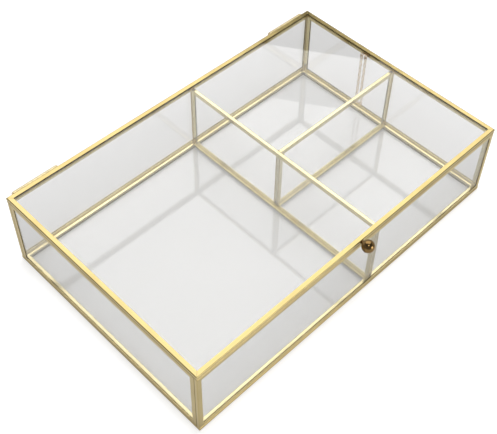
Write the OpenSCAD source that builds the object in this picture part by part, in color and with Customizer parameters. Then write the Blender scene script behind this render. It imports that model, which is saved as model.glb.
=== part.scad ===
// Glass casket box: eight panes of clear glass, each bound in folded brass channel with mitred
// corners, make a flat case with three compartments. The framed lid turns on two tube hinges
// along the back and is held open by a fine chain of interlocked links at the right-hand wall.
// X runs along the case, -Y is the front with the ball knob, +Z is up.
// The origin lies under the middle of the whole casket, knob and hinges included.

/* [Case] */
// Outer length of the case, left to right
case_w = 270; // [220:1:340]
// Outer depth of the case, front to back, without knob and hinges
case_d = 174; // [150:1:220]
// Height of the closed casket
case_h = 61; // [50:0.5:90]

/* [Glass and channel] */
// Thickness of every glass pane
glass_t = 2; // [1.8:0.1:2.6]
// Thickness of the brass sheet that the channel is folded from
sheet_t = 0.3; // [0.2:0.05:0.4]
// How far the channel reaches over the glass, measured from its outer edge
channel_face = 3.2; // [2.8:0.1:4.5]
// How far the wider channel round the base reaches in under the walls, from its outer edge
base_face = 4.9; // [4.4:0.1:7]
// Radius of the two folded edges of the channel
channel_round = 0.6; // [0.2:0.05:0.7]
// Gap between the edge of a pane and the channel round it
glass_play = 0.2; // [0.05:0.05:0.5]

/* [Dividers] */
// Place of the long divider, right of the middle of the case
long_divider_x = 16; // [-60:0.5:60]
// Place of the short divider, behind the middle of the case
short_divider_y = 0.5; // [-20:0.5:15]
// Gap between the dividers and the closed lid
divider_drop = 1.4; // [0.6:0.1:6]

/* [Solder] */
// Leg of the solder fillets in the upright inner corners
solder_leg = 0.6; // [0.4:0.1:2]
// Thickness of a solder fillet where it runs out
solder_edge = 0.12; // [0.05:0.01:0.3]

/* [Hinges] */
// Length of each hinge over the heads of its rod
hinge_len = 34; // [24:1:50]
// Distance from the end of the case to the hinge
hinge_inset = 5.5; // [2:0.5:20]
// Length of the lid's tube in the middle of each hinge
lid_tube_len = 16; // [8:0.5:18]
// Outer diameter of the hinge tubes
tube_d = 3; // [2.6:0.1:3.6]
// Diameter of the hinge rod
rod_d = 1.5; // [1.1:0.1:1.8]
// Running clearance round the rod, on the radius
rod_play = 0.05; // [0.02:0.01:0.1]
// Gap between the end of one tube and the next
tube_gap = 0.2; // [0.1:0.05:0.5]
// Gap between the tubes and the back of the case
tube_stand = 0.1; // [0.05:0.05:0.3]
// How far the solder bead of a tube reaches up or down the channel
bead_h = 1.8; // [1.4:0.1:2]
// Diameter of the flattened heads of the rod
rod_head_d = 2.3; // [2:0.1:2.6]
// Thickness of the flattened heads of the rod
rod_head_t = 0.5; // [0.3:0.1:1]

/* [Knob] */
// Diameter of the ball knob
knob_d = 8.6; // [6:0.1:12]
// Gap between the ball and the lid's front rail
knob_gap = 0.8; // [0.4:0.1:3]
// Diameter of the knob's stem
stem_d = 1.6; // [1.2:0.1:1.8]
// How far the stem goes into the ball
stem_seat = 3.5; // [2:0.1:5]
// Diameter of the neck that is turned in one with the ball
neck_d = 2.6; // [2.4:0.1:3.2]
// Gap between that neck and the lid's channel
neck_gap = 0.12; // [0.05:0.01:0.3]
// Gap round the stem in the ball, on the radius
stem_play = 0.03; // [0.02:0.01:0.1]
// Place of the knob, right of the middle of the lid
knob_x = -1.2; // [-20:0.1:20]

/* [Stay chain] */
// Diameter of the chain's wire
link_wire_d = 0.6; // [0.5:0.05:0.7]
// Outer width of a link
link_w = 2.3; // [2.2:0.1:3]
// Length of the opening in a link
link_bore_len = 3.1; // [2.6:0.1:4]
// Gap between two links where they bear on each other
link_play = 0.05; // [0.02:0.01:0.1]
// Diameter of the wire of the two anchor rings
ring_wire_d = 0.7; // [0.5:0.05:0.8]
// Outer diameter of the two anchor rings
ring_d = 3.8; // [3.4:0.1:4.6]
// How far the wall's ring sits in front of the hinge axis
stay_y = 61; // [48:0.5:70]
// Least height of the hanging chain over the floor
chain_floor_gap = 5; // [3:0.5:12]
// Diameter of the solder tack that holds the wall's ring
tack_d = 1.4; // [1:0.1:2]
// Thickness of the lug that carries the lid's ring
lug_t = 0.3; // [0.2:0.05:0.5]
// Width of that lug
lug_w = 2.4; // [1.6:0.1:3]
// How deep the lid's ring is soldered into its lug
lug_bite = 0.1; // [0.05:0.05:0.2]
// Gap between the lug and the wall when the lid shuts
lug_play = 0.1; // [0.05:0.05:0.3]

/* [Hidden] */
$fn = 48;

brass = "#d8b660";
glass = [0.84, 0.92, 0.90, 0.35];
knob_brass = "#7a4f1c";
solder_brass = "#c39c4a";

// Channel and walls
channel_t = glass_t + 2 * sheet_t;
wall_h = case_h - 2 * channel_t;
side_len = case_d - 2 * channel_t;
divider_h = wall_h - divider_drop;
floor_z = channel_t;
lid_z = case_h - channel_t;

// Hinges and knob: what reaches past the case, and the shift that centres it all over the origin
axis_back = tube_stand + tube_d / 2;
hinge_reach = axis_back + tube_d / 2;
knob_reach = knob_gap + knob_d;
mid_y = (knob_reach - hinge_reach) / 2;
front_y = mid_y - case_d / 2;
back_y = mid_y + case_d / 2;
axis_y = back_y + axis_back;
hinge_x = case_w / 2 - hinge_inset - hinge_len / 2;
tube_run = hinge_len - 2 * (rod_head_t + tube_gap);
case_tube_len = (tube_run - lid_tube_len - 2 * tube_gap) / 2;

// Short divider: from the long divider to the right-hand wall
short_left = long_divider_x + channel_t / 2;
short_right = case_w / 2 - channel_t;
short_len = short_right - short_left;

// Stay chain: one strand hangs from the wall's ring, one from the lid's ring in front of it
ring_r = (ring_d - ring_wire_d) / 2;
stay_x = case_w / 2 - channel_t - ring_d / 2;
ring_z = lid_z - lug_t - ring_d / 2 + lug_bite;
wall_ring_y = axis_y - stay_y;
link_bend_r = (link_w - link_wire_d) / 2;
link_len = link_bore_len + link_wire_d;
lid_ring_y = wall_ring_y - link_len;
link_step = link_bore_len - link_play;
first_link = link_bore_len / 2 - ring_wire_d / 2 - link_play;
hang_z = ring_z - ring_r;
strand_room = hang_z - floor_z - chain_floor_gap - first_link - link_len / 2;
// An even number of steps leaves the last link of each strand square to the connector
strand_steps = 2 * floor(strand_room / link_step / 2);
strand_len = first_link + strand_steps * link_step + link_bore_len / 2 - link_wire_d / 2 - link_play;

// ---- Channel and framed panes ----

// Section of the folded channel: x runs from its outer edge over the glass, y across the glass
module channel_section(face) {
    half = channel_t / 2;
    difference() {
        union() {
            translate([channel_round, -half])
                square([face - channel_round, channel_t]);
            translate([0, channel_round - half])
                square([channel_round, channel_t - 2 * channel_round]);
            for (side = [-1, 1])
                translate([channel_round, side * (half - channel_round)])
                    circle(r = channel_round);
        }
        translate([sheet_t, -glass_t / 2])
            square([face, glass_t]);
    }
}

// A length of channel along X with both ends mitred, its outer edge on y = 0
module rail(length, face) {
    intersection() {
        rotate([90, 0, 90])
            linear_extrude(length, center = true)
                channel_section(face);
        linear_extrude(2 * channel_t, center = true)
            polygon([
                [-length / 2, 0], [length / 2, 0],
                [length / 2 - face, face], [face - length / 2, face]
            ]);
    }
}

// The four rails of a pane w by h that lies in the XY plane with its middle at the origin
module low_rail(w, h, face = channel_face) {
    translate([0, -h / 2, 0])
        rail(w, face);
}

module high_rail(w, h, face = channel_face) {
    rotate(180)
        low_rail(w, h, face);
}

module left_rail(w, h, face = channel_face) {
    rotate(-90)
        low_rail(h, w, face);
}

module right_rail(w, h, face = channel_face) {
    rotate(90)
        low_rail(h, w, face);
}

module pane(w, h) {
    border = 2 * (sheet_t + glass_play);
    cube([w - border, h - border, glass_t], center = true);
}

// ---- Places of the panes ----

module at_lid() {
    translate([0, mid_y, case_h - channel_t / 2])
        children();
}

module at_base() {
    translate([0, mid_y, channel_t / 2])
        children();
}

// Panes that face the front: their low edge is the bottom
module upright_across(x, y, h) {
    translate([x, y, floor_z + h / 2])
        rotate([90, 0, 0])
            children();
}

// Panes that face the side: their low edge is the bottom, their left edge is the front
module upright_along(x, h) {
    translate([x, mid_y, floor_z + h / 2])
        rotate([90, 0, 90])
            children();
}

module at_front_wall() {
    upright_across(0, front_y + channel_t / 2, wall_h)
        children();
}

module at_back_wall() {
    upright_across(0, back_y - channel_t / 2, wall_h)
        children();
}

module at_left_wall() {
    upright_along(channel_t / 2 - case_w / 2, wall_h)
        children();
}

module at_right_wall() {
    upright_along(case_w / 2 - channel_t / 2, wall_h)
        children();
}

module at_long_divider() {
    upright_along(long_divider_x, divider_h)
        children();
}

module at_short_divider() {
    upright_across((short_left + short_right) / 2, mid_y + short_divider_y, divider_h)
        children();
}

// ---- Lid ----

module lid_glass() color(glass) at_lid() pane(case_w, case_d);
module lid_front_rail() color(brass) at_lid() low_rail(case_w, case_d);
module lid_back_rail() color(brass) at_lid() high_rail(case_w, case_d);
module lid_left_rail() color(brass) at_lid() left_rail(case_w, case_d);
module lid_right_rail() color(brass) at_lid() right_rail(case_w, case_d);

// ---- Base ----

module base_glass() color(glass) at_base() pane(case_w, case_d);
module base_front_rail() color(brass) at_base() low_rail(case_w, case_d, base_face);
module base_back_rail() color(brass) at_base() high_rail(case_w, case_d, base_face);
module base_left_rail() color(brass) at_base() left_rail(case_w, case_d, base_face);
module base_right_rail() color(brass) at_base() right_rail(case_w, case_d, base_face);

// ---- Walls: front and back run the full width, the sides stand between them ----

module front_wall_glass() color(glass) at_front_wall() pane(case_w, wall_h);
module front_wall_bottom_rail() color(brass) at_front_wall() low_rail(case_w, wall_h);
module front_wall_top_rail() color(brass) at_front_wall() high_rail(case_w, wall_h);
module front_wall_left_rail() color(brass) at_front_wall() left_rail(case_w, wall_h);
module front_wall_right_rail() color(brass) at_front_wall() right_rail(case_w, wall_h);

module back_wall_glass() color(glass) at_back_wall() pane(case_w, wall_h);
module back_wall_bottom_rail() color(brass) at_back_wall() low_rail(case_w, wall_h);
module back_wall_top_rail() color(brass) at_back_wall() high_rail(case_w, wall_h);
module back_wall_left_rail() color(brass) at_back_wall() left_rail(case_w, wall_h);
module back_wall_right_rail() color(brass) at_back_wall() right_rail(case_w, wall_h);

module left_wall_glass() color(glass) at_left_wall() pane(side_len, wall_h);
module left_wall_bottom_rail() color(brass) at_left_wall() low_rail(side_len, wall_h);
module left_wall_top_rail() color(brass) at_left_wall() high_rail(side_len, wall_h);
module left_wall_front_rail() color(brass) at_left_wall() left_rail(side_len, wall_h);
module left_wall_back_rail() color(brass) at_left_wall() right_rail(side_len, wall_h);

module right_wall_glass() color(glass) at_right_wall() pane(side_len, wall_h);
module right_wall_bottom_rail() color(brass) at_right_wall() low_rail(side_len, wall_h);
module right_wall_top_rail() color(brass) at_right_wall() high_rail(side_len, wall_h);
module right_wall_front_rail() color(brass) at_right_wall() left_rail(side_len, wall_h);
module right_wall_back_rail() color(brass) at_right_wall() right_rail(side_len, wall_h);

// ---- Dividers ----

module long_divider_glass() color(glass) at_long_divider() pane(side_len, divider_h);
module long_divider_bottom_rail() color(brass) at_long_divider() low_rail(side_len, divider_h);
module long_divider_top_rail() color(brass) at_long_divider() high_rail(side_len, divider_h);
module long_divider_front_rail() color(brass) at_long_divider() left_rail(side_len, divider_h);
module long_divider_back_rail() color(brass) at_long_divider() right_rail(side_len, divider_h);

module short_divider_glass() color(glass) at_short_divider() pane(short_len, divider_h);
module short_divider_bottom_rail() color(brass) at_short_divider() low_rail(short_len, divider_h);
module short_divider_top_rail() color(brass) at_short_divider() high_rail(short_len, divider_h);
module short_divider_left_rail() color(brass) at_short_divider() left_rail(short_len, divider_h);
module short_divider_right_rail() color(brass) at_short_divider() right_rail(short_len, divider_h);

// ---- Solder ----

// An upright fillet in the corner at x, y; turn is the way that its legs run
module fillet(x, y, turn, h) {
    translate([x, y, floor_z])
        rotate(turn)
            linear_extrude(h)
                difference() {
                    square(solder_leg);
                    translate([solder_leg, solder_leg])
                        circle(r = solder_leg - solder_edge);
                }
}

// Two fillets, one on each side of a divider's end that meets a face square on
module fillet_pair(x, y, turn) {
    translate([x, y, 0])
        rotate(turn) {
            fillet(0, channel_t / 2, 0, divider_h);
            fillet(0, -channel_t / 2, -90, divider_h);
        }
}

module corner_solder() {
    x = case_w / 2 - channel_t;
    y = side_len / 2;
    color(solder_brass) {
        fillet(-x, mid_y - y, 0, wall_h);
        fillet(x, mid_y - y, 90, wall_h);
        fillet(x, mid_y + y, 180, wall_h);
        fillet(-x, mid_y + y, 270, wall_h);
    }
}

module divider_solder() {
    color(solder_brass) {
        fillet_pair(long_divider_x, mid_y - side_len / 2, 90);
        fillet_pair(long_divider_x, mid_y + side_len / 2, -90);
        fillet_pair(short_left, mid_y + short_divider_y, 0);
        fillet_pair(short_right, mid_y + short_divider_y, 180);
    }
}

// ---- Hinges ----

// A tube along X on the hinge axis, with the bead that solders it to the channel at side 1,
// above the axis, or -1, below it
module hinge_tube(length, side) {
    wall_mid = (tube_d / 2 + rod_d / 2 + rod_play) / 2;
    rotate([90, 0, 90])
        linear_extrude(length, center = true)
            difference() {
                union() {
                    circle(d = tube_d);
                    polygon([
                        [-axis_back, side * channel_round], [-axis_back, side * bead_h],
                        [-wall_mid * cos(75), side * wall_mid * sin(75)],
                        [-wall_mid * cos(10), side * wall_mid * sin(10)]
                    ]);
                }
                circle(r = rod_d / 2 + rod_play);
            }
}

// Repeats its child on the axis of both hinges
module at_hinges() {
    for (side = [-1, 1])
        translate([side * hinge_x, axis_y, lid_z])
            children();
}

module case_hinge_tubes() {
    color(brass)
        at_hinges()
            for (side = [-1, 1])
                translate([side * (tube_run - case_tube_len) / 2, 0, 0])
                    hinge_tube(case_tube_len, -1);
}

module lid_hinge_tubes() {
    color(brass)
        at_hinges()
            hinge_tube(lid_tube_len, 1);
}

module hinge_rods() {
    color(brass)
        at_hinges()
            rotate([0, 90, 0]) {
                cylinder(d = rod_d, h = hinge_len, center = true);
                for (side = [-1, 1])
                    translate([0, 0, side * (hinge_len - rod_head_t) / 2])
                        cylinder(d = rod_head_d, h = rod_head_t, center = true);
            }
}

// ---- Knob on the lid's front rail ----

module at_knob() {
    translate([knob_x, front_y, case_h - channel_t / 2])
        rotate([90, 0, 0])
            children();
}

module knob_ball() {
    color(knob_brass)
        at_knob()
            difference() {
                union() {
                    translate([0, 0, knob_gap + knob_d / 2])
                        sphere(d = knob_d);
                    translate([0, 0, neck_gap])
                        cylinder(d = neck_d, h = knob_gap - neck_gap + stem_seat);
                }
                cylinder(r = stem_d / 2 + stem_play, h = knob_gap + stem_seat);
            }
}

module knob_stem() {
    color(knob_brass)
        at_knob()
            cylinder(d = stem_d, h = knob_gap + stem_seat);
}

// ---- Stay chain ----

// Round wire bent through half a turn in the XY plane, from +X over +Y to -X
module half_turn(bend_r, wire_d) {
    rotate_extrude(angle = 180)
        translate([bend_r, 0])
            circle(d = wire_d, $fn = 24);
}

// The two straight sides of a link, along Z from z = 0 up
module link_sides(length) {
    for (side = [-1, 1])
        translate([side * link_bend_r, 0, 0])
            cylinder(d = link_wire_d, h = length, $fn = 24);
}

// A closed link in the XZ plane, its middle at the origin and its long way along Z
module link() {
    straight = link_len - 2 * link_bend_r;
    translate([0, 0, -straight / 2])
        link_sides(straight);
    for (end = [-1, 1])
        translate([0, 0, end * straight / 2])
            rotate([end * 90, 0, 0])
                half_turn(link_bend_r, link_wire_d);
}

// Links that hang from a ring's wire at the origin, each square to the one before
module strand() {
    for (step = [0 : strand_steps])
        translate([0, 0, -first_link - step * link_step])
            rotate(step % 2 == 0 ? 90 : 0)
                link();
}

module anchor_ring() {
    rotate([90, 0, 0])
        rotate_extrude()
            translate([ring_r, 0])
                circle(d = ring_wire_d, $fn = 24);
}

module wall_chain_ring() {
    color(brass)
        translate([stay_x, wall_ring_y, ring_z]) {
            anchor_ring();
            translate([ring_r, 0, 0])
                rotate([0, 90, 0])
                    cylinder(d = tack_d, h = ring_d / 2 - ring_r);
        }
}

module lid_chain_ring() {
    lug_right = ring_d / 2 - lug_play;
    color(brass)
        translate([stay_x, lid_ring_y, ring_z]) {
            anchor_ring();
            translate([-ring_r / 2, -lug_w / 2, ring_d / 2 - lug_bite])
                cube([lug_right + ring_r / 2, lug_w, lug_t]);
        }
}

module wall_chain_links() {
    color(brass)
        translate([stay_x, wall_ring_y, hang_z])
            strand();
}

module lid_chain_links() {
    color(brass)
        translate([stay_x, lid_ring_y, hang_z])
            strand();
}

// The link that joins the two strands: an open one, hooked in the wall's strand, whose free
// ends pass on both sides of the last link of the lid's strand
module chain_connector() {
    color(brass)
        translate([stay_x, wall_ring_y - link_bend_r, hang_z - strand_len]) {
            half_turn(link_bend_r, link_wire_d);
            rotate([90, 0, 0])
                link_sides(link_len - link_bend_r);
        }
}

lid_glass();
lid_front_rail();
lid_back_rail();
lid_left_rail();
lid_right_rail();
base_glass();
base_front_rail();
base_back_rail();
base_left_rail();
base_right_rail();
front_wall_glass();
front_wall_bottom_rail();
front_wall_top_rail();
front_wall_left_rail();
front_wall_right_rail();
back_wall_glass();
back_wall_bottom_rail();
back_wall_top_rail();
back_wall_left_rail();
back_wall_right_rail();
left_wall_glass();
left_wall_bottom_rail();
left_wall_top_rail();
left_wall_front_rail();
left_wall_back_rail();
right_wall_glass();
right_wall_bottom_rail();
right_wall_top_rail();
right_wall_front_rail();
right_wall_back_rail();
long_divider_glass();
long_divider_bottom_rail();
long_divider_top_rail();
long_divider_front_rail();
long_divider_back_rail();
short_divider_glass();
short_divider_bottom_rail();
short_divider_top_rail();
short_divider_left_rail();
short_divider_right_rail();
corner_solder();
divider_solder();
case_hinge_tubes();
lid_hinge_tubes();
hinge_rods();
knob_ball();
knob_stem();
wall_chain_ring();
lid_chain_ring();
wall_chain_links();
lid_chain_links();
chain_connector();
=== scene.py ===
"""Dresses the glass casket box: brushed brass channel with foot strips, clear glass, uneven
solder, an antique brass knob and a fine stay chain, on a white table under studio lamps.
Metres, +Z up."""

import math

import bmesh
import bpy
from bpy.props import FloatProperty, FloatVectorProperty, IntProperty, PointerProperty
from mathutils import Matrix, Vector, noise


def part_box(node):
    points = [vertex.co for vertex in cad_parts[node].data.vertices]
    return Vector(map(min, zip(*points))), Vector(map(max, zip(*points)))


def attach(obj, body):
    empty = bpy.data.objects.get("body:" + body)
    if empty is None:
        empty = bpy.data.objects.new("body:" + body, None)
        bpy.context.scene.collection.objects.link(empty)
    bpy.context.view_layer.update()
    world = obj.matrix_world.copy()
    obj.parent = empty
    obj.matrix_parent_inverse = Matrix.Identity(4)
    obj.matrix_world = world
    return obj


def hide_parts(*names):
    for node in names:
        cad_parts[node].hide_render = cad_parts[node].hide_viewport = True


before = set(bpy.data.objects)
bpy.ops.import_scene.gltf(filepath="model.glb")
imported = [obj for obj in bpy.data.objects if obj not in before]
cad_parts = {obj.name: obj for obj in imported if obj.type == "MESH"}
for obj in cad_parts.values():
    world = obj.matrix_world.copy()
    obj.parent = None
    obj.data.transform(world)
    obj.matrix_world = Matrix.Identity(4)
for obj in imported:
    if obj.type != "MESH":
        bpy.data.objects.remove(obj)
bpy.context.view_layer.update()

bl_info = {
    "name": "Glass casket box",
    "version": (1, 0, 0),
    "blender": (4, 5, 0),
    "location": "View3D > Sidebar > Casket",
    "description": "Finishes, solder, knob, stay chain and studio of a brass-bound glass casket",
    "category": "Object",
}

MM = 0.001

# Steps of the round forms
WIRE_SIDES = 12
LINK_SIDES = 10
LINK_BEND_STEPS = 7
OPEN_LINK_STEPS = 12
SEAM_SIDES = 8
SEAM_STEPS = 12
STRIP_BEND_STEPS = 6
FILLET_RINGS = 44
FILLET_STEPS = 7
KNOB_STEPS = 40

# How far a seam's width wanders, and the waves to the metre of that
SEAM_UNEVENNESS = 0.7
SEAM_WAVES = 1400.0
# How far a mitre seam stays off the corner and off the channel's inner edge
MITRE_OUTER_END, MITRE_INNER_END = 0.4 * MM, 0.1 * MM
# How deep a corner seam lies, as a share of its width, and how far it stays off the frame's ends
GROOVE_DEPTH, GROOVE_END = 0.75, 0.3 * MM

# How a solder fillet's leg varies: its mean, its wander and the waves to the metre of that,
# and how much it pools at its ends and how far from them
FILLET_MEAN, FILLET_WANDER, FILLET_WAVES = 0.94, 0.22, 420.0
FILLET_POOL, FILLET_POOL_REACH = 0.28, 1.1 * MM

# The knob's neck: its gap to the lid's channel, its broken edge and its hollow at the ball
NECK_GAP, NECK_EDGE = 0.12 * MM, 0.15 * MM
NECK_HOLLOW, NECK_HOLLOW_LENGTH = 0.3 * MM, 0.12 * MM
# The open link's legs: the share of their length, and how far they turn inwards there
OPEN_LINK_LEG = ((0.35, 0.0), (0.75, 0.0), (0.92, 0.06 * MM), (1.0, 0.16 * MM))

# The table's half width, its grid and its gap under the casket
TABLE_REACH, TABLE_CELLS, TABLE_GAP = 4.0, 8, 0.05 * MM
# Distances from the casket between which the table runs into white
TABLE_NEAR, TABLE_FAR = 0.25, 0.7
# Heights, as the sine of the elevation, between which the low backdrop ends at its top
BACKDROP_TOP = (0.54, 0.59)
# How far a way points behind the casket where the backdrop begins and where it is full
BACKDROP_SIDE = (0.1, 0.4)
# The softbox: the middle of its lower edge, its shift across, its width and height
SOFTBOX_EDGE = Vector((0.586, 0.468, 0.600))
SOFTBOX_SHIFT, SOFTBOX_WIDTH, SOFTBOX_HEIGHT = 0.06, 1.15, 0.8
# The way in which it lies, as azimuth and elevation in degrees
SOFTBOX_WAY = (33.5, 57.0)
# The two small lamps: azimuth, elevation, distance and size
SMALL_LAMPS = {"top_lamp": (-127.0, 65.0, 1.0, 0.30), "side_lamp": (-76.0, 14.0, 1.1, 0.50)}
SENSOR_WIDTH = 36.0
CLIP_START, CLIP_END = 0.01, 50.0


# ---- Sizes and colours that a user would change ----

def length(name, description, default):
    """A property that holds a length in metres."""
    return FloatProperty(name=name, description=description, default=default,
                         min=0.0, precision=5, subtype="DISTANCE", unit="LENGTH")


def share(name, description, default):
    """A property from 0 to 1."""
    return FloatProperty(name=name, description=description, default=default,
                         min=0.0, max=1.0, subtype="FACTOR")


def colour(name, description, default):
    """A property that holds a linear colour."""
    return FloatVectorProperty(name=name, description=description, default=default,
                               min=0.0, max=1.0, size=3, subtype="COLOR")


def angle(name, description, degrees):
    """A property that holds an angle, with its default in degrees."""
    return FloatProperty(name=name, description=description, default=math.radians(degrees),
                         subtype="ANGLE", unit="ROTATION")


def width_of(node):
    """The width of a CAD node along X."""
    low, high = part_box(node)
    return high.x - low.x


class CasketSizes(bpy.types.PropertyGroup):
    """Sizes of the small pieces that are modelled here."""

    knob_diameter: length("Knob", "Diameter of the ball knob", width_of("knob_ball"))
    neck_diameter: length("Knob neck", "Diameter of the turned neck behind the ball", 2.6 * MM)
    chain_wire: length("Chain wire", "Diameter of the chain's wire", 0.6 * MM)
    chain_link: length("Link length", "Outer length of a chain link", 3.7 * MM)
    chain_count: IntProperty(name="Links", description="Links in each strand", default=15, min=2)
    channel_face: length("Channel face", "How far the channel reaches over the glass", 3.2 * MM)
    seam_width: length("Seam width", "Width of the solder seam in a mitre", 0.34 * MM)
    seam_height: length("Seam height", "How far that seam stands proud", 0.05 * MM)
    groove_width: length("Groove width", "Width of the dark solder in the corner grooves",
                         0.55 * MM)
    fillet_leg: length("Fillet leg", "Leg of the solder fillets in the corners", 0.6 * MM)
    fillet_edge: length("Fillet edge", "Thickness of a fillet where it runs out", 0.1 * MM)
    strip_width: length("Strip width", "How far the foot strips reach in from the walls", 2.3 * MM)
    strip_slim: length("Slim strip", "How far they reach out from the dividers", 1.3 * MM)
    strip_height: length("Strip height", "Height of the foot strips over the base", 1.9 * MM)
    strip_round: length("Strip rounding", "Radius of the foot strips' upper edge", 0.45 * MM)


class CasketFinishes(bpy.types.PropertyGroup):
    """Colours and gloss of the finishes."""

    brass: colour("Brass", "Channel brass", (0.60, 0.475, 0.21))
    # Painted light: the channel brass inside the case is painted paler, as if more light fell
    # there.
    brass_painted_light: colour("Painted light brass", "Channel brass inside, painted paler for the light there",
                         (0.62, 0.54, 0.29))
    # Painted shade: the case's brass just under the lid is painted dark, as if in shade.
    painted_lid_shade: colour("Lid shade", "Brass just under the lid, painted dark as shade",
                    (0.22, 0.14, 0.03))
    brass_roughness: share("Brass roughness", "Roughness of the brushed channel", 0.16)
    tarnish: colour("Tarnish", "Brass where the lacquer has dulled", (0.44, 0.33, 0.13))
    hinge: colour("Hinge brass", "Pale brass of the hinge tubes", (0.70, 0.60, 0.36))
    solder: colour("Solder", "Brass-plated solder", (0.48, 0.38, 0.19))
    seam: colour("Groove solder", "Dark solder in the outer corner seams", (0.15, 0.10, 0.04))
    knob: colour("Knob", "Antique brass of the knob", (0.25, 0.15, 0.05))
    knob_worn: colour("Worn knob", "Antique brass where fingers polish it", (0.37, 0.24, 0.09))
    chain: colour("Chain", "Brass of the chain wire", (0.60, 0.45, 0.27))
    glass: colour("Glass", "Tint of the glass at each face", (0.985, 0.983, 0.98))
    glass_shade: colour("Glass shade", "Light that passes one face of a pane",
                        (0.955, 0.955, 0.952))


class CasketStudio(bpy.types.PropertyGroup):
    """Camera, lamps and table."""

    lens: FloatProperty(name="Lens", description="Focal length in millimetres", default=67.45)
    camera_place: FloatVectorProperty(name="Camera", description="Place of the camera", size=3,
                                      default=(-0.2931, -0.278, 0.502), subtype="TRANSLATION")
    azimuth: angle("Azimuth", "Turn of the camera round the casket", -47.83)
    elevation: angle("Elevation", "Height of the camera over the horizon", 48.55)
    roll: angle("Roll", "Tilt of the camera round its own axis", -3.15)
    shift: FloatVectorProperty(name="Shift", description="Camera shift in frame widths", size=2,
                               default=(-0.0606, -0.0700))
    table: share("Table", "Lightness of the white table", 0.72)
    table_seen: share("Table seen", "Light added to the table for the camera", 0.6)
    table_seen_away: share("Far table seen", "More of that away from the casket", 0.2)
    table_through: share("Table through glass", "Light added to it where glass shows it", 0.09)
    table_through_away: share("Far table through glass", "More of that away from the casket", 0.3)
    table_gloss: share("Table gloss", "Light added to it where metal shows it", 0.2)
    room: share("Room light", "Level of the light from all round", 0.36)
    room_gloss: share("Room gloss", "Level of the room that shows in metal and glass", 0.14)
    room_through: share("Room through glass", "Level of the white room seen through glass", 0.92)
    backdrop: share("Backdrop", "Level of the low backdrop that shows in metal and glass", 0.5)
    backdrop_around: share("Backdrop around", "Share of that level that isn't behind the casket",
                           0.25)
    softbox: FloatProperty(name="Softbox", description="Radiance of the main softbox",
                           default=1.73)
    spots: FloatProperty(name="Small lamps", description="Radiance of the two small lamps",
                         default=3.0)


# ---- Node trees ----

class Socket:
    """An output of a node, on which Python's operators add Math nodes."""

    def __init__(self, tree, socket):
        self.tree, self.socket = tree, socket

    def maths(self, operation, first, second):
        """The value of a Math node."""
        return self.tree.node("ShaderNodeMath", {"operation": operation},
                              {0: first, 1: second})["Value"]

    def __add__(self, other):
        return self.maths("ADD", self, other)

    def __radd__(self, other):
        return self.maths("ADD", other, self)

    def __sub__(self, other):
        return self.maths("SUBTRACT", self, other)

    def __rsub__(self, other):
        return self.maths("SUBTRACT", other, self)

    def __mul__(self, other):
        return self.maths("MULTIPLY", self, other)

    def __rmul__(self, other):
        return self.maths("MULTIPLY", other, self)

    def __mod__(self, other):
        return self.maths("MODULO", self, other)

    def __gt__(self, other):
        return self.maths("GREATER_THAN", self, other)

    def __lt__(self, other):
        return self.maths("LESS_THAN", self, other)

    def larger(self, other):
        """The larger of this and other."""
        return self.maths("MAXIMUM", self, other)


class Made:
    """A node, whose outputs are read by name or identifier."""

    def __init__(self, tree, node):
        self.tree, self.node = tree, node

    def __getitem__(self, key):
        return Socket(self.tree, self.tree.find(self.node.outputs, key))


class Tree:
    """A node tree that node() builds."""

    def __init__(self, tree):
        self.tree = tree

    @staticmethod
    def find(sockets, key):
        """The socket with this number, identifier or name."""
        if isinstance(key, int):
            return sockets[key]
        for socket in sockets:
            if socket.identifier == key:
                return socket
        return next(s for s in sockets if s.name == key and s.enabled)

    def node(self, kind, settings=None, sockets=None):
        """Adds a node: its settings first, then the values or links of its sockets."""
        made = self.tree.nodes.new(kind)
        for name, value in (settings or {}).items():
            setattr(made, name, value)
        for key, value in (sockets or {}).items():
            target = self.find(made.inputs, key)
            if isinstance(value, Socket):
                self.tree.links.new(value.socket, target)
            else:
                target.default_value = value
        return Made(self, made)

    def ramp(self, value, low, high):
        """Zero below low, one above high and smooth between."""
        return self.node("ShaderNodeMapRange", {"interpolation_type": "SMOOTHSTEP"}, {
            "Value": value, "From Min": low, "From Max": high})["Result"]


class Finish(Tree):
    """A material that is put together from nodes."""

    def __init__(self, name):
        self.material = bpy.data.materials.new(name)
        self.material.use_nodes = True
        super().__init__(self.material.node_tree)
        self.tree.nodes.clear()
        self.place = self.node("ShaderNodeTexCoord")["Object"]

    def stretched(self, scale):
        """Object coordinates times a scale along each axis."""
        return self.node("ShaderNodeMapping", None, {
            "Vector": self.place, "Scale": scale})["Vector"]

    def noise(self, scale, detail=2.0, place=None, roughness=0.5):
        """Noise from 0 to 1, scale waves to the metre."""
        return self.node("ShaderNodeTexNoise", None, {
            "Vector": place or self.place, "Scale": scale, "Detail": detail,
            "Roughness": roughness})["Fac"]

    def axis(self, name):
        """Object coordinates along X, Y or Z."""
        return self.node("ShaderNodeSeparateXYZ", None, {"Vector": self.place})[name]

    def within(self, low, high):
        """One between two corners as seen from above, and zero outside."""
        x, y = self.axis("X"), self.axis("Y")
        return (x > low.x) * (x < high.x) * (y > low.y) * (y < high.y)

    def mix(self, factor, first, second):
        """A colour between two."""
        return self.node("ShaderNodeMix", {"data_type": "RGBA"}, {
            "Factor_Float": factor, "A_Color": rgba(first), "B_Color": rgba(second),
        })["Result_Color"]

    def bump(self, height, distance, strength=1.0, under=None):
        """A normal that follows height, which stands for distance in metres."""
        sockets = {"Height": height, "Distance": distance, "Strength": strength}
        if under is not None:
            sockets["Normal"] = under
        return self.node("ShaderNodeBump", None, sockets)["Normal"]

    def show(self, surface):
        """Sends a shader to the surface and returns the finished material."""
        self.node("ShaderNodeOutputMaterial", None, {"Surface": surface})
        return self.material


def rgba(value):
    """A colour with its alpha, or a socket as it is."""
    return value if isinstance(value, Socket) else (*value, 1.0)


# ---- Finishes ----

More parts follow.
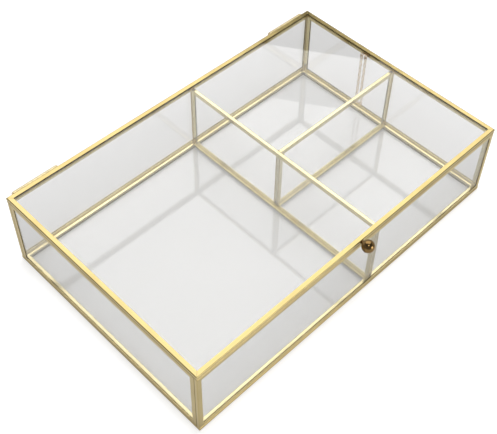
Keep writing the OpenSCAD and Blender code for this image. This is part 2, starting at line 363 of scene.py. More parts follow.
def brushed_brass(name, along, finishes, room=None):
    """Pale lacquered brass sheet, brushed along one axis, with dulled clouds and small marks.
    Between the corners of room, the inside of the case, its colour is painted paler as painted
    light, and painted dark just under the lid as painted shade."""
    f = Finish(name)
    brush = [2600.0] * 3
    brush[along] = 30.0
    lines = f.noise(scale=1.0, detail=3.0, place=f.stretched(brush))
    streaks = lines - 0.5
    marks = f.ramp(f.noise(scale=950.0), low=0.66, high=0.74)
    rub = f.ramp(f.noise(scale=140.0, detail=5.0, roughness=0.62), low=0.5, high=0.78)
    dull = f.ramp(f.noise(scale=38.0, detail=4.0), low=0.42, high=0.72)
    fresh = finishes.brass
    # Painted light and shade: paler brass inside the case, and dark brass just under the lid.
    if room is not None:
        inside, top = f.within(*room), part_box("back_wall_top_rail")[1].z
        lid_shade_mask = inside * f.ramp(f.axis("Z"), low=top - 1.5 * MM, high=top - 0.4 * MM)
        fresh = f.mix(lid_shade_mask, f.mix(inside, finishes.brass, finishes.brass_painted_light),
                      finishes.painted_lid_shade)
    tarnished = dull * 0.30 + marks * 0.35 + streaks * 0.25
    rough = finishes.brass_roughness + streaks * 0.14 + dull * 0.06 + rub * 0.07
    waves = f.bump(f.noise(scale=110.0, detail=1.0), distance=0.12 * MM, strength=0.5)
    scratches = f.bump(lines, distance=0.012 * MM, strength=0.6, under=waves)
    metal = f.node("ShaderNodeBsdfPrincipled", None, {
        "Base Color": f.mix(tarnished, fresh, finishes.tarnish), "Metallic": 1.0,
        "Roughness": rough, "Normal": scratches})
    return f.show(metal["BSDF"])


def drawn_brass(name, tint, roughness, finishes):
    """Tube, rod or wire of brass: a fine grain from drawing, dull in patches."""
    f = Finish(name)
    dull = f.ramp(f.noise(scale=420.0, detail=4.0), low=0.4, high=0.75)
    grain = f.noise(scale=5200.0)
    rough = roughness + dull * 0.14 + (grain - 0.5) * 0.08
    metal = f.node("ShaderNodeBsdfPrincipled", None, {
        "Base Color": f.mix(dull * 0.55, tint, finishes.tarnish), "Metallic": 1.0,
        "Roughness": rough, "Normal": f.bump(grain, distance=0.008 * MM, strength=0.5)})
    return f.show(metal["BSDF"])


def solder_metal(name, bright, dull):
    """Solder: it froze in soft lumps and is duller than the sheet."""
    f = Finish(name)
    lumps = f.noise(scale=700.0, detail=3.0)
    pits = f.ramp(f.noise(scale=2600.0), low=0.62, high=0.74)
    dulled = f.ramp(lumps, low=0.35, high=0.7) * 0.6 + pits * 0.3
    rough = 0.3 + lumps * 0.16 + pits * 0.15
    metal = f.node("ShaderNodeBsdfPrincipled", None, {
        "Base Color": f.mix(dulled, bright, dull), "Metallic": 1.0, "Roughness": rough,
        "Normal": f.bump(lumps - pits * 0.4, distance=0.10 * MM, strength=0.6)})
    return f.show(metal["BSDF"])


def antique_brass(name, finishes):
    """Dark polished brass of the knob, worn lighter in places, with hairline scratches."""
    f = Finish(name)
    worn = f.ramp(f.noise(scale=230.0, detail=4.0), low=0.48, high=0.8)
    hair = f.noise(scale=1.0, detail=3.0, place=f.stretched((300.0, 4200.0, 2400.0)))
    rough = 0.10 + (hair - 0.4) * 0.08 + worn * 0.04
    metal = f.node("ShaderNodeBsdfPrincipled", None, {
        "Base Color": f.mix(worn * 0.6, finishes.knob, finishes.knob_worn), "Metallic": 1.0,
        "Roughness": rough, "Normal": f.bump(hair, distance=0.006 * MM, strength=0.4),
        "Coat Weight": 0.2, "Coat Roughness": 0.05})
    return f.show(metal["BSDF"])


def clear_glass(name, finishes):
    """Polished float glass with a trace of haze. Lamps shine through it on what is inside."""
    f = Finish(name)
    haze = f.ramp(f.noise(scale=22.0, detail=5.0), low=0.45, high=0.8)
    hazy = tuple(part - 0.012 for part in finishes.glass)
    ripple = f.bump(f.noise(scale=9.0, detail=1.0), distance=0.02 * MM, strength=0.3)
    glass = f.node("ShaderNodeBsdfPrincipled", None, {
        "Base Color": f.mix(haze, finishes.glass, hazy), "Roughness": 0.0, "IOR": 1.5,
        "Transmission Weight": 1.0, "Normal": ripple})
    passed = f.node("ShaderNodeBsdfTransparent", None, {"Color": rgba(finishes.glass_shade)})
    ray = f.node("ShaderNodeLightPath")
    lit = ray["Is Shadow Ray"].larger(ray["Is Diffuse Ray"])
    mixed = f.node("ShaderNodeMixShader", None, {0: lit, 1: glass["BSDF"], 2: passed["BSDF"]})
    return f.show(mixed["Shader"])


def white_table(name, studio):
    """Matt white table. It runs into white for the camera away from the casket, and keeps the
    casket's soft shadow near it."""
    f = Finish(name)
    light, dark = [studio.table] * 3, [studio.table - 0.015] * 3
    base = f.mix(f.noise(scale=60.0, detail=3.0), light, dark)
    cloth = f.node("ShaderNodeBsdfDiffuse", None, {"Color": base})
    distance = f.node("ShaderNodeVectorMath", {"operation": "LENGTH"}, {0: f.place})["Value"]
    away = f.ramp(distance, TABLE_NEAR, TABLE_FAR)
    ray = f.node("ShaderNodeLightPath")
    through = ray["Is Transmission Ray"]
    seen = (ray["Is Camera Ray"] * (studio.table_seen + away * studio.table_seen_away)
            + through * (studio.table_through + away * studio.table_through_away)
            + ray["Is Glossy Ray"] * (1.0 - through) * studio.table_gloss)
    glow = f.node("ShaderNodeEmission", None, {"Color": seen})
    both = f.node("ShaderNodeAddShader", None, {0: cloth["BSDF"], 1: glow["Emission"]})
    return f.show(both["Shader"])


# ---- Pieces ----

def piece(name, mesh, material, body, slot, *replaced):
    """Links a mesh as a piece of the casket that rides on a body."""
    made = bpy.data.objects.new(name, mesh)
    bpy.context.scene.collection.objects.link(made)
    if material is not None:
        mesh.materials.clear()
        mesh.materials.append(material)
    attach(made, body)
    if replaced:
        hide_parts(*replaced)
    return made


def dress(node, material):
    """Gives a CAD node its finish."""
    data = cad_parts[node].data
    data.materials.clear()
    data.materials.append(material)


def nodes_like(ending):
    """The CAD nodes whose names end so."""
    return [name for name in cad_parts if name.endswith(ending)]


def longest_axis(node):
    """The number of the axis along which a CAD node is longest."""
    low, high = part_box(node)
    return max(range(3), key=lambda axis: high[axis] - low[axis])


def grow(name, tree, inputs, mesh=None):
    """Runs a geometry node tree on a mesh and returns the result as a plain mesh."""
    carrier = bpy.data.objects.new(name + "_carrier", mesh or bpy.data.meshes.new(name))
    bpy.context.scene.collection.objects.link(carrier)
    modifier = carrier.modifiers.new("growth", "NODES")
    modifier.node_group = tree
    for item in tree.interface.items_tree:
        if item.in_out == "INPUT" and item.name in inputs:
            modifier[item.identifier] = inputs[item.name]
    graph = bpy.context.evaluated_depsgraph_get()
    grown = bpy.data.meshes.new_from_object(carrier.evaluated_get(graph), depsgraph=graph)
    grown.name = name
    carrier.modifiers.remove(modifier)
    bpy.data.objects.remove(carrier)
    return grown


class Growth(Tree):
    """A geometry node tree with named inputs that ends in Realize Instances and Set Material."""

    def __init__(self, name, inputs, material):
        group = bpy.data.node_groups.new(name, "GeometryNodeTree")
        super().__init__(group)
        face = group.interface
        face.new_socket(name="Geometry", in_out="OUTPUT", socket_type="NodeSocketGeometry")
        face.new_socket(name="Geometry", in_out="INPUT", socket_type="NodeSocketGeometry")
        for label, kind in inputs.items():
            face.new_socket(name=label, in_out="INPUT", socket_type="NodeSocket" + kind)
        self.given = self.node("NodeGroupInput")
        self.material = material

    def finish(self, geometry):
        """Realizes geometry, smooths and paints it, and ends the tree."""
        real = self.node("GeometryNodeRealizeInstances", None, {"Geometry": geometry})
        smooth = self.node("GeometryNodeSetShadeSmooth", None, {"Geometry": real["Geometry"]})
        painted = self.node("GeometryNodeSetMaterial", None, {
            "Geometry": smooth["Geometry"], "Material": self.material})
        self.node("NodeGroupOutput", None, {"Geometry": painted["Geometry"]})
        return self.tree


def link_tree(material):
    """A strand of oval wire links, each turned a quarter from the one above it."""
    t = Growth("strand of links", {
        "Wire": "Float", "Width": "Float", "Length": "Float", "Step": "Float",
        "Count": "Int", "First": "Vector"}, material)
    wire, width = t.given["Wire"], t.given["Width"]
    bend_width = width - wire
    oval = t.node("GeometryNodeCurvePrimitiveQuadrilateral", None, {
        "Width": bend_width, "Height": t.given["Length"] - wire})
    bent = t.node("GeometryNodeFilletCurve", {"mode": "POLY"}, {
        "Curve": oval["Curve"], "Count": LINK_BEND_STEPS, "Radius": bend_width * 0.4999,
        "Limit Radius": True})
    circle = t.node("GeometryNodeCurvePrimitiveCircle", None, {
        "Resolution": LINK_SIDES, "Radius": wire * 0.5})
    solid = t.node("GeometryNodeCurveToMesh", None, {
        "Curve": bent["Curve"], "Profile Curve": circle["Curve"]})
    upright = t.node("GeometryNodeTransform", None, {
        "Geometry": solid["Mesh"], "Rotation": (math.pi / 2, 0.0, 0.0)})
    down = t.node("ShaderNodeCombineXYZ", None, {"Z": t.given["Step"] * -1.0})
    row = t.node("GeometryNodeMeshLine", {"mode": "OFFSET"}, {
        "Count": t.given["Count"], "Start Location": t.given["First"], "Offset": down["Vector"]})
    odd = (t.node("GeometryNodeInputIndex")["Index"] + 1.0) % 2.0
    turn = t.node("ShaderNodeCombineXYZ", None, {"Z": odd * (math.pi / 2)})
    links = t.node("GeometryNodeInstanceOnPoints", None, {
        "Points": row["Mesh"], "Instance": upright["Geometry"], "Rotation": turn["Vector"]})
    return t.finish(links["Instances"])


def seam_tree(material):
    """A low bead of solder along each edge of the mesh, of uneven width."""
    t = Growth("mitre seams", {"Width": "Float", "Unevenness": "Float"}, material)
    lines = t.node("GeometryNodeMeshToCurve", None, {"Mesh": t.given["Geometry"]})
    fine = t.node("GeometryNodeResampleCurve", None, {
        "Curve": lines["Curve"], "Count": SEAM_STEPS})
    place = t.node("GeometryNodeInputPosition")["Position"]
    wander = t.node("ShaderNodeTexNoise", None, {
        "Vector": place, "Scale": SEAM_WAVES, "Detail": 2.0})
    swell = 1.0 + (wander["Fac"] - 0.5) * t.given["Unevenness"]
    sized = t.node("GeometryNodeSetCurveRadius", None, {"Curve": fine["Curve"], "Radius": swell})
    circle = t.node("GeometryNodeCurvePrimitiveCircle", None, {
        "Resolution": SEAM_SIDES, "Radius": t.given["Width"] * 0.5})
    bead = t.node("GeometryNodeCurveToMesh", None, {
        "Curve": sized["Curve"], "Profile Curve": circle["Curve"], "Scale": swell,
        "Fill Caps": True})
    return t.finish(bead["Mesh"])


def lathe(name, outline, centre, axis, turns=64):
    """A closed solid of revolution: outline holds pairs of radius and distance along the axis."""
    form = bmesh.new()
    rings = []
    turn = Vector((0.0, 0.0, 1.0)).rotation_difference(axis).to_matrix()
    for radius, along in outline:
        points = [(0.0, 0.0)] if radius == 0 else [
            (radius * math.cos(step * math.tau / turns),
             radius * math.sin(step * math.tau / turns)) for step in range(turns)]
        rings.append([form.verts.new(centre + turn @ Vector((x, y, along))) for x, y in points])
    for ring, above in zip(rings, rings[1:]):
        for step in range(turns):
            corners = [ring[step % len(ring)], ring[(step + 1) % len(ring)],
                       above[(step + 1) % len(above)], above[step % len(above)]]
            form.faces.new(list(dict.fromkeys(corners)))
    bmesh.ops.recalc_face_normals(form, faces=form.faces)
    return plain_mesh(name, form)


def plain_mesh(name, form, smooth=True):
    """Turns a bmesh into a mesh."""
    mesh = bpy.data.meshes.new(name)
    for face in form.faces:
        face.smooth = smooth
    form.to_mesh(mesh)
    form.free()
    return mesh


def add_strip(form, start, stop, mitred, wide, sizes):
    """Adds a brass strip along a wall's foot. The wall lies on its right hand, seen from start,
    and mitred says for each end whether it meets the next wall's strip there."""
    along = (stop - start).normalized()
    inwards = Vector((-along.y, along.x, 0.0))
    high, bend = sizes.strip_height, sizes.strip_round
    outline = [(0.0, 0.0), (wide, 0.0)]
    for step in range(STRIP_BEND_STEPS + 1):
        turn = math.pi / 2 * step / STRIP_BEND_STEPS
        outline.append((wide - bend + bend * math.cos(turn),
                        high - bend + bend * math.sin(turn)))
    outline.append((0.0, high))
    loops = []
    for place, way, cut in ((start, 1, mitred[0]), (stop, -1, mitred[1])):
        loops.append([form.verts.new(place + inwards * x + Vector((0.0, 0.0, z))
                                     + along * way * cut * x) for x, z in outline])
    for step in range(len(outline)):
        after = (step + 1) % len(outline)
        form.faces.new((loops[0][step], loops[0][after], loops[1][after], loops[1][step]))
    form.faces.new(loops[0])
    form.faces.new(loops[1])


def add_fillet(form, corner, leg_x, leg_y, low, high, sizes):
    """Adds a concave solder fillet that runs up a corner; leg_x and leg_y point along its legs.
    Its legs wander in width, and the solder pools a little at both ends."""
    edge = sizes.fillet_edge
    loops = []
    for ring in range(FILLET_RINGS + 1):
        z = low + (high - low) * ring / FILLET_RINGS
        wander = noise.noise(Vector((corner.x, corner.y, z)) * FILLET_WAVES)
        pool = math.exp(-min(z - low, high - z) / FILLET_POOL_REACH)
        leg = sizes.fillet_leg * (FILLET_MEAN + FILLET_WANDER * wander + FILLET_POOL * pool)
        curve = leg - edge
        turns = [step / FILLET_STEPS * math.pi / 2 for step in range(FILLET_STEPS + 1)]
        arc = [(leg - curve * math.sin(turn), leg - curve * math.cos(turn)) for turn in turns]
        outline = [(-edge, -edge), (leg, -edge), *arc, (-edge, leg)]
        loops.append([form.verts.new(corner + leg_x * x + leg_y * y + Vector((0.0, 0.0, z)))
                      for x, y in outline])
    for loop, above in zip(loops, loops[1:]):
        for step in range(len(loop)):
            after = (step + 1) % len(loop)
            form.faces.new((loop[step], loop[after], above[after], above[step]))
    form.faces.new(loops[0])
    form.faces.new(loops[-1])


def fillets(name, corners, low, high, sizes):
    """One mesh with a fillet at each corner, given as its place and the ways of its legs."""
    form = bmesh.new()
    for x, y, way_x, way_y in corners:
        add_fillet(form, Vector((x, y, 0.0)), Vector((way_x, 0.0, 0.0)), Vector((0.0, way_y, 0.0)),
                   low, high, sizes)
    bmesh.ops.recalc_face_normals(form, faces=form.faces)
    return plain_mesh(name, form)


def wire_mesh(name, path, radius):
    """Round wire along a path that lies level, with closed ends."""
    form = bmesh.new()
    loops = []
    for number, point in enumerate(path):
        before, after = path[max(number - 1, 0)], path[min(number + 1, len(path) - 1)]
        side = (after - before).normalized().cross(Vector((0.0, 0.0, 1.0)))
        turns = [step * math.tau / WIRE_SIDES for step in range(WIRE_SIDES)]
        loops.append([form.verts.new(point + radius * (
            side * math.cos(turn) + Vector((0.0, 0.0, math.sin(turn))))) for turn in turns])
    for loop, above in zip(loops, loops[1:]):
        for step in range(WIRE_SIDES):
            after = (step + 1) % WIRE_SIDES
            form.faces.new((loop[step], loop[after], above[after], above[step]))
    form.faces.new(loops[0])
    form.faces.new(loops[-1])
    bmesh.ops.recalc_face_normals(form, faces=form.faces)
    return plain_mesh(name, form)


def frame_box(pane):
    """The lowest and highest corner of a framed pane, from its rails."""
    boxes = [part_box(name) for name in nodes_like("_rail") if name.startswith(pane + "_")]
    low = Vector([min(box[0][axis] for box in boxes) for axis in range(3)])
    high = Vector([max(box[1][axis] for box in boxes) for axis in range(3)])
    return low, high


def inside_corners():
    """The lowest and highest corner of the space between the middles of the four walls."""
    middles = {side: sum(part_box(side + "_wall_bottom_rail"), Vector()) / 2
               for side in ("left", "right", "front", "back")}
    return (Vector((middles["left"].x, middles["front"].y, 0.0)),
            Vector((middles["right"].x, middles["back"].y, 0.0)))


def mitre_lines(pane, sides, sizes):
    """The ends of the mitre seams on the given sides, -1 or 1, of a framed pane."""
    low, high = frame_box(pane)
    thin = min(range(3), key=lambda axis: high[axis] - low[axis])
    flat = [axis for axis in range(3) if axis != thin]
    sunk = sizes.seam_width / 2 - sizes.seam_height
    lines = []
    for side in sides:
        level = high[thin] - sunk if side > 0 else low[thin] + sunk
        for ends in ((low, low), (low, high), (high, low), (high, high)):
            start, stop = Vector(), Vector()
            start[thin] = stop[thin] = level
            for axis, end in zip(flat, ends):
                inwards = 1 if end is low else -1
                start[axis] = end[axis] + inwards * MITRE_OUTER_END
                stop[axis] = end[axis] + inwards * (sizes.channel_face - MITRE_INNER_END)
            lines.append((start, stop))
    return lines


def seam_mesh(name, tree, panes, sizes):
    """The solder beads of the mitres of several panes, given with their sides, as one mesh."""
    lines = [line for pane, sides in panes for line in mitre_lines(pane, sides, sizes)]
    return beads(name, tree, lines, sizes.seam_width)


def beads(name, tree, lines, width):
    """A bead of solder along each line, given by its two ends, as one mesh."""
    mesh = bpy.data.meshes.new(name + "_lines")
    points = [point for line in lines for point in line]
    mesh.from_pydata(points, [(2 * i, 2 * i + 1) for i in range(len(lines))], [])
    return grow(name, tree, {"Width": width, "Unevenness": SEAM_UNEVENNESS}, mesh)


# ---- Operators ----

class CasketPart(bpy.types.Operator):
    """Base of the operators that make the casket."""

    bl_options = {"REGISTER", "UNDO"}

    def execute(self, context):
        scene = context.scene
        self.make(scene.casket_sizes, scene.casket_finishes, scene.casket_studio)
        return {"FINISHED"}


class CASKET_OT_channels(CasketPart):
    """Give every brass rail a finish brushed along its own length"""

    bl_idname = "casket.channels"
    bl_label = "Brass channels"

    def make(self, sizes, finishes, studio):
        # The case's rails carry the painted light inside and the painted shade under the lid.
        for kind, room in (("lid", None), ("case", inside_corners())):
            brushed = [brushed_brass(kind + "_brass_along_" + axis, number, finishes, room)
                       for number, axis in enumerate("xyz")]
            for node in nodes_like("_rail"):
                if node.startswith("lid_") == (kind == "lid"):
                    dress(node, brushed[longest_axis(node)])


class CASKET_OT_strips(CasketPart):
    """Lay a brass strip along the foot of every wall, inside the compartments"""

    bl_idname = "casket.strips"
    bl_label = "Foot strips"

    def make(self, sizes, finishes, studio):
        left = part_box("left_wall_bottom_rail")[1].x
        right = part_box("right_wall_bottom_rail")[0].x
        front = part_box("front_wall_bottom_rail")[1].y
        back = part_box("back_wall_bottom_rail")[0].y
        long_low, long_high = frame_box("long_divider")
        short_low, short_high = frame_box("short_divider")
        wide, slim = sizes.strip_width, sizes.strip_slim
        runs_x = [((left, front), (long_low.x, front), (True, False), wide),
                  ((long_high.x, front), (right, front), (False, True), wide),
                  ((right, back), (long_high.x, back), (True, False), wide),
                  ((long_low.x, back), (left, back), (False, True), wide),
                  ((long_high.x, short_high.y), (right - wide, short_high.y), (True, False), slim),
                  ((right - wide, short_low.y), (long_high.x, short_low.y), (False, True), slim)]
        runs_y = [((left, back), (left, front), (True, True), wide),
                  ((right, front), (right, short_low.y), (True, False), wide),
                  ((right, short_high.y), (right, back), (False, True), wide),
                  ((long_low.x, front + wide), (long_low.x, back - wide), (False, False), slim),
                  ((long_high.x, back - wide), (long_high.x, short_high.y), (False, True), slim),
                  ((long_high.x, short_low.y), (long_high.x, front + wide), (True, False), slim)]
        for number, axis, runs in ((0, "x", runs_x), (1, "y", runs_y)):
            form = bmesh.new()
            for start, stop, mitred, reach in runs:
                add_strip(form, Vector((*start, long_low.z)), Vector((*stop, long_low.z)), mitred,
                          reach, sizes)
            bmesh.ops.recalc_face_normals(form, faces=form.faces)
            name = "foot_strips_" + axis
            # The strips' brass is painted paler inside the case as painted light.
            piece(name, plain_mesh(name, form, smooth=False),
                  brushed_brass("strip_brass_" + axis, number, finishes, inside_corners()),
                  "case", "brass_channel")


class CASKET_OT_panes(CasketPart):
    """Give every pane its clear glass"""

    bl_idname = "casket.panes"
    bl_label = "Glass panes"

    def make(self, sizes, finishes, studio):
        glass = clear_glass("clear_glass", finishes)
        for node in nodes_like("_glass"):
            dress(node, glass)


class CASKET_OT_solder(CasketPart):
    """Run solder up the corners and into the mitres"""

    bl_idname = "casket.solder"
    bl_label = "Solder"

    def make(self, sizes, finishes, studio):
        metal = solder_metal("solder", finishes.solder, finishes.tarnish)
        low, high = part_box("corner_solder")
        corners = [(low.x if x > 0 else high.x, low.y if y > 0 else high.y, x, y)
                   for x in (-1, 1) for y in (-1, 1)]
        piece("corner_fillets", fillets("corner_fillets", corners, low.z, high.z, sizes), metal,
              "case", "solder", "corner_solder")
        piece("divider_fillets", self.divider_fillets(sizes), metal,
              "case", "solder", "divider_solder")
        tree = seam_tree(metal)
        case = [(pane, (-1, 1)) for pane in ("front_wall", "back_wall", "left_wall", "right_wall",
                                             "long_divider", "short_divider")]
        for body, panes in (("case", case), ("lid", [("lid", (1,))])):
            name = body + "_mitre_seams"
            piece(name, seam_mesh(name, tree, panes, sizes), metal, body, "solder")
        # The beads in the corner grooves are much darker than the other solder.
        groove_metal = solder_metal("old_solder", finishes.seam, [part / 2 for part in finishes.seam])
        piece("corner_seams", self.corner_seams(seam_tree(groove_metal), sizes), None, "case", "solder")

    def corner_seams(self, tree, sizes):
        """Dark beads in the grooves where the side walls meet the front and back walls."""
        side_low, side_high = frame_box("left_wall")
        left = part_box("left_wall_bottom_rail")[0].x
        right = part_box("right_wall_bottom_rail")[1].x
        sunk = sizes.groove_width * GROOVE_DEPTH
        lines = []
        for x in (left + sunk, right - sunk):
            for y in (side_low.y, side_high.y):
                lines.append((Vector((x, y, side_low.z + GROOVE_END)),
                              Vector((x, y, side_high.z - GROOVE_END))))
        return beads("corner_seams", tree, lines, sizes.groove_width)

    def divider_fillets(self, sizes):
        """Two fillets at each end of both dividers."""
        long_low, long_high = frame_box("long_divider")
        short_low, short_high = frame_box("short_divider")
        corners = []
        for x, way_x in ((long_low.x, -1), (long_high.x, 1)):
            corners += [(x, long_low.y, way_x, 1), (x, long_high.y, way_x, -1)]
        for y, way_y in ((short_low.y, -1), (short_high.y, 1)):
            corners += [(short_low.x, y, 1, way_y), (short_high.x, y, -1, way_y)]
        return fillets("divider_fillets", corners, long_low.z, long_high.z, sizes)


class CASKET_OT_hinges(CasketPart):
    """Finish the hinge tubes and their rods"""

    bl_idname = "casket.hinges"
    bl_label = "Hinges"

    def make(self, sizes, finishes, studio):
        tube = drawn_brass("hinge_tube_brass", finishes.hinge, roughness=0.28, finishes=finishes)
        rod = drawn_brass("hinge_rod_brass", finishes.chain, roughness=0.32, finishes=finishes)
        for node in nodes_like("_hinge_tubes"):
            dress(node, tube)
        dress("hinge_rods", rod)


class CASKET_OT_knob(CasketPart):
    """Turn the ball knob with its neck and finish the stem"""

    bl_idname = "casket.knob"
    bl_label = "Ball knob"

    def make(self, sizes, finishes, studio):
        brass = antique_brass("antique_brass", finishes)
        low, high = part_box("knob_ball")
        rail_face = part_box("lid_front_rail")[0].y
        ball, neck = sizes.knob_diameter / 2, sizes.neck_diameter / 2
        centre = (low + high) / 2
        centre.y = low.y + ball
        reach = rail_face - centre.y - NECK_GAP
        start = math.asin((neck + NECK_HOLLOW) / ball)
        outline = [(0.0, reach), (neck - NECK_EDGE, reach), (neck, reach - NECK_EDGE),
                   (neck, ball * math.cos(start) + NECK_HOLLOW_LENGTH)]
        for step in range(KNOB_STEPS):
            turn = start + (math.pi - start) * step / KNOB_STEPS
            outline.append((ball * math.sin(turn), ball * math.cos(turn)))
        outline.append((0.0, -ball))
        knob = lathe("knob", outline, centre, Vector((0.0, 1.0, 0.0)))
        piece("knob", knob, brass, "lid", "knob_brass", "knob_ball")
        dress("knob_stem", brass)


class CASKET_OT_chain(CasketPart):
    """Link the two strands of the stay chain and bend the open link that joins them"""

    bl_idname = "casket.chain"
    bl_label = "Stay chain"

    def make(self, sizes, finishes, studio):
        brass = drawn_brass("chain_brass", finishes.chain, roughness=0.22, finishes=finishes)
        tree = link_tree(brass)
        for node, body in (("wall_chain_links", "wall_strand"), ("lid_chain_links", "lid_strand")):
            low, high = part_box(node)
            middle = (low + high) / 2
            mesh = grow(node + "_wire", tree, {
                "Wire": sizes.chain_wire, "Width": high.x - low.x, "Length": sizes.chain_link,
                "Step": (high.z - low.z - sizes.chain_link) / (sizes.chain_count - 1),
                "Count": sizes.chain_count,
                "First": (middle.x, middle.y, high.z - sizes.chain_link / 2)})
            piece(body + "_links", mesh, None, body, "chain_brass", node)
        piece("connecting_link", self.open_link(sizes), brass,
              "connector", "chain_brass", "chain_connector")
        for node in nodes_like("_chain_ring"):
            dress(node, brass)

    def open_link(self, sizes):
        """The open link: a bend round the wall's strand, two legs, and ends turned inwards."""
        low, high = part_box("chain_connector")
        middle = (low + high) / 2
        wire = sizes.chain_wire / 2
        bend = (high.x - low.x) / 2 - wire
        arc_y = high.y - wire - bend
        path = []
        for step in range(OPEN_LINK_STEPS + 1):
            turn = math.pi * step / OPEN_LINK_STEPS
            path.append(Vector((bend * math.cos(turn), arc_y + bend * math.sin(turn), 0.0)))
        for along, inwards in OPEN_LINK_LEG:
            y = arc_y + (low.y - arc_y) * along
            path.insert(0, Vector((bend - inwards, y, 0.0)))
            path.append(Vector((inwards - bend, y, 0.0)))
        return wire_mesh("connecting_link", [p + Vector((middle.x, 0.0, middle.z)) for p in path],
                         wire)


def towards(azimuth, elevation):
    """The way towards an azimuth and elevation, and the level way across it."""
    facing = Vector((math.cos(elevation) * math.cos(azimuth),
                     math.cos(elevation) * math.sin(azimuth), math.sin(elevation)))
    return facing, Vector((-math.sin(azimuth), math.cos(azimuth), 0.0))


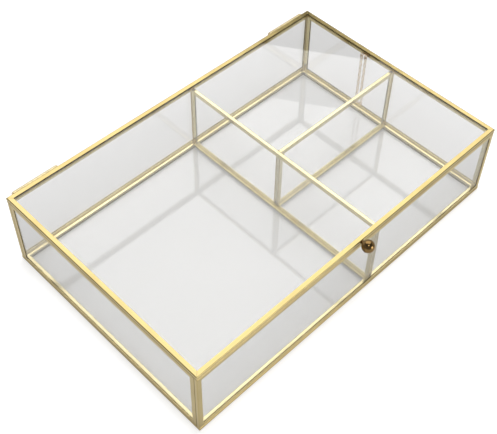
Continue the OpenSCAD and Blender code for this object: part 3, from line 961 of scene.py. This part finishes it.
class CASKET_OT_stage(CasketPart):
    """Set the casket on a white table under softboxes, in front of the camera"""

    bl_idname = "casket.stage"
    bl_label = "Studio"

    def make(self, sizes, finishes, studio):
        self.table(studio)
        self.lamps(studio)
        self.room(studio)
        self.camera(studio)
        bpy.context.scene.view_settings.view_transform = "Standard"

    def table(self, studio):
        """A wide table just under the casket."""
        form = bmesh.new()
        bmesh.ops.create_grid(form, x_segments=TABLE_CELLS, y_segments=TABLE_CELLS,
                              size=TABLE_REACH)
        bmesh.ops.translate(form, verts=form.verts, vec=(0.0, 0.0, -TABLE_GAP))
        mesh = plain_mesh("table", form, smooth=False)
        mesh.materials.append(white_table("white_table", studio))
        table = bpy.data.objects.new("table", mesh)
        bpy.context.scene.collection.objects.link(table)

    def lamps(self, studio):
        """The softbox that shows in the lid, and the two small lamps that show in the knob."""
        facing, across = towards(*map(math.radians, SOFTBOX_WAY))
        centre = (SOFTBOX_EDGE + across * SOFTBOX_SHIFT
                  + facing.cross(across) * SOFTBOX_HEIGHT / 2)
        self.lamp("softbox", centre, facing, across, SOFTBOX_WIDTH, SOFTBOX_HEIGHT,
                  studio.softbox)
        for name, (azimuth, elevation, distance, size) in SMALL_LAMPS.items():
            facing, across = towards(math.radians(azimuth), math.radians(elevation))
            self.lamp(name, facing * distance, facing, across, size, size, studio.spots)

    def lamp(self, name, centre, facing, across, width, height, radiance):
        """A rectangular lamp that shines back along facing with an even radiance."""
        data = bpy.data.lights.new(name, "AREA")
        data.shape = "RECTANGLE"
        data.size, data.size_y = width, height
        data.energy = radiance * math.pi * width * height
        lamp = bpy.data.objects.new(name, data)
        bpy.context.scene.collection.objects.link(lamp)
        turned = Matrix((across, facing.cross(across), facing)).transposed().to_4x4()
        lamp.matrix_world = Matrix.Translation(centre) @ turned
        lamp.visible_camera = False

    def room(self, studio):
        """White behind the casket for the camera, and a dimmer room in the metal and glass."""
        world = bpy.data.worlds.new("studio_room")
        world.use_nodes = True
        world.node_tree.nodes.clear()
        t = Tree(world.node_tree)
        ray = t.node("ShaderNodeLightPath")
        seen = ray["Is Camera Ray"].larger(ray["Is Transmission Ray"] * studio.room_through)
        strength = seen + (1.0 - seen.larger(ray["Is Glossy Ray"])) * studio.room
        way = t.node("ShaderNodeTexCoord")["Generated"]
        height = t.node("ShaderNodeSeparateXYZ", None, {"Vector": way})["Z"]
        behind = t.node("ShaderNodeVectorMath", {"operation": "DOT_PRODUCT"}, {
            0: way, 1: (-math.sin(studio.azimuth), math.cos(studio.azimuth), 0.0)})["Value"]
        around = studio.backdrop_around
        around = around + t.ramp(behind, *BACKDROP_SIDE) * (1.0 - around)
        backdrop = (1.0 - t.ramp(height, *BACKDROP_TOP)) * around * studio.backdrop
        glossy = ray["Is Glossy Ray"] * (1.0 - seen) * (studio.room_gloss + backdrop)
        light = t.node("ShaderNodeBackground", None, {
            "Color": rgba((1.0, 1.0, 1.0)), "Strength": strength + glossy})
        t.node("ShaderNodeOutputWorld", None, {"Surface": light["Background"]})
        bpy.context.scene.world = world

    def camera(self, studio):
        """The photograph's camera."""
        data = bpy.data.cameras.new("camera")
        data.lens, data.sensor_width = studio.lens, SENSOR_WIDTH
        data.shift_x, data.shift_y = studio.shift
        data.clip_start, data.clip_end = CLIP_START, CLIP_END
        back, level = towards(studio.azimuth - math.pi / 2, studio.elevation)
        upright, roll = back.cross(level), studio.roll
        right = level * math.cos(roll) - upright * math.sin(roll)
        up = level * math.sin(roll) + upright * math.cos(roll)
        camera = bpy.data.objects.new("camera", data)
        bpy.context.scene.collection.objects.link(camera)
        turned = Matrix((right, up, back)).transposed().to_4x4()
        camera.matrix_world = Matrix.Translation(studio.camera_place) @ turned
        bpy.context.scene.camera = camera


PARTS = (CASKET_OT_channels, CASKET_OT_strips, CASKET_OT_panes, CASKET_OT_solder, CASKET_OT_hinges,
         CASKET_OT_knob, CASKET_OT_chain, CASKET_OT_stage)


class CASKET_PT_sidebar(bpy.types.Panel):
    """Lists the casket's parts and their sizes and colours"""

    bl_label = "Glass casket box"
    bl_space_type = "VIEW_3D"
    bl_region_type = "UI"
    bl_category = "Casket"

    def draw(self, context):
        for part in PARTS:
            self.layout.operator(part.bl_idname)
        scene = context.scene
        for group in (scene.casket_sizes, scene.casket_finishes, scene.casket_studio):
            box = self.layout.box()
            for name in group.__annotations__:
                box.prop(group, name)


CLASSES = (CasketSizes, CasketFinishes, CasketStudio, *PARTS, CASKET_PT_sidebar)


def register():
    """Registers the classes and hangs the properties on the scene."""
    for kind in CLASSES:
        bpy.utils.register_class(kind)
    bpy.types.Scene.casket_sizes = PointerProperty(type=CasketSizes)
    bpy.types.Scene.casket_finishes = PointerProperty(type=CasketFinishes)
    bpy.types.Scene.casket_studio = PointerProperty(type=CasketStudio)


def unregister():
    """Undoes register()."""
    del bpy.types.Scene.casket_studio
    del bpy.types.Scene.casket_finishes
    del bpy.types.Scene.casket_sizes
    for kind in reversed(CLASSES):
        bpy.utils.unregister_class(kind)


def main():
    """Makes the casket's looks and its studio."""
    register()
    bpy.ops.casket.channels()
    bpy.ops.casket.strips()
    bpy.ops.casket.panes()
    bpy.ops.casket.solder()
    bpy.ops.casket.hinges()
    bpy.ops.casket.knob()
    bpy.ops.casket.chain()
    bpy.ops.casket.stage()


if __name__ == "__main__":
    main()
